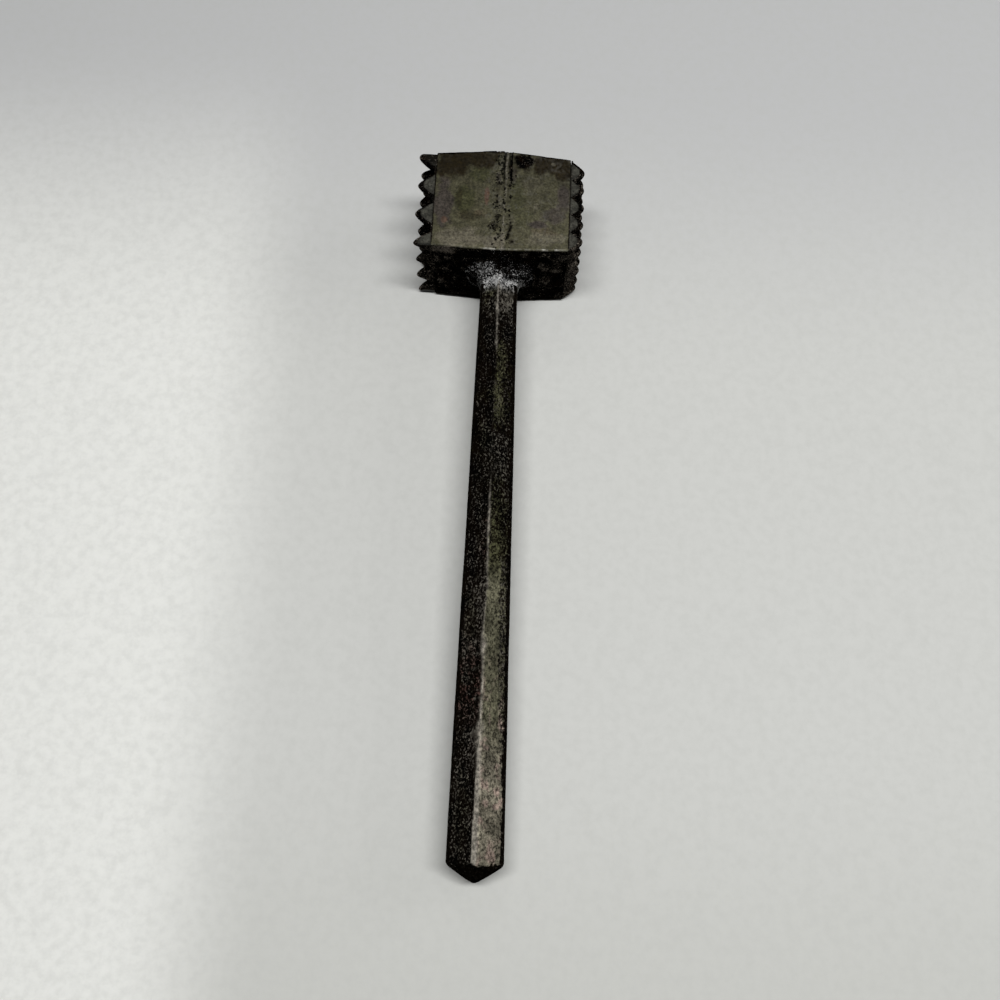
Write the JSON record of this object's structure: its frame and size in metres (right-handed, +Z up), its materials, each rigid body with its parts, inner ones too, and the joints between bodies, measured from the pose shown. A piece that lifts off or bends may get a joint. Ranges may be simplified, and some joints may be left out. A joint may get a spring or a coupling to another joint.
{
  "type": "meat tenderizer",
  "caption": "Double-faced all-metal meat tenderizer: square head with coarse and fine pyramid teeth on its ends, on a long tapered hexagonal bar handle.",
  "frame": {"origin": "on the table under the middle of the tenderizer's box, as it lies on its side", "axes": "+X from the coarse teeth to the fine teeth, +Y from the handle to the head, +Z up from the table; the handle's axis drops 2.5 degrees towards the butt"},
  "size_m": [0.064, 0.2696, 0.0438],
  "materials": {
    "head_casting": "dark olive-brown patina, smooth on the top and bottom, rough black casting skin on the near and far faces",
    "tooth_plates": "dark grey casting skin, worn at the tips",
    "handle_bar": "dark olive-grey patina with fine speckles, worn bright along the upper edge",
    "ground_weld": "rough pitted weld metal, ground level and gone dull"
  },
  "bodies": {
    "root": {"coarse_head_half": "head_casting", "fine_head_half": "head_casting", "seam_bead": "ground_weld", "coarse_tooth_plate": "tooth_plates", "fine_tooth_plate": "tooth_plates", "handle": "handle_bar", "root_fillet": "ground_weld"}
  },
  "joints": []
}
